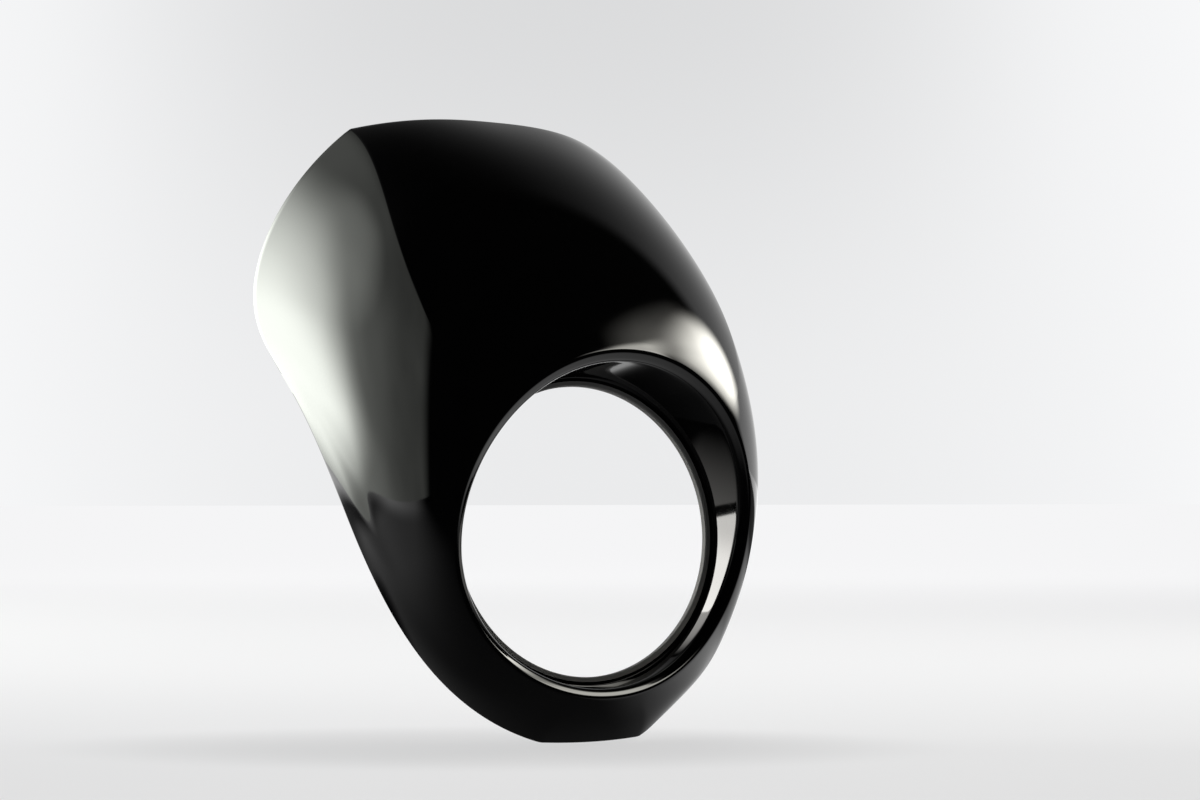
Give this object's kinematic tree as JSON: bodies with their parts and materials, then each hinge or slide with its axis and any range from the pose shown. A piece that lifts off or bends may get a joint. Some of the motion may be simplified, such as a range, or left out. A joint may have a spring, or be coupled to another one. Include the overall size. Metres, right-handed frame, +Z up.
{
  "type": "motorcycle semi-fairing",
  "caption": "Moulded half fairing for a round headlight: a swept shell with creased top corners, a stepped lamp tunnel and side wings that reach back beside the fork.",
  "frame": {"origin": "centre of the rear face of the lamp seat", "axes": "the lamp axis is Y and the lamp looks along -Y; X is across the motorcycle and Z is up"},
  "size_m": [0.2852, 0.2501, 0.4185],
  "materials": {
    "gloss_black": "polished gloss black"
  },
  "bodies": {
    "root": {"fairing_shell": "gloss_black"}
  },
  "joints": []
}
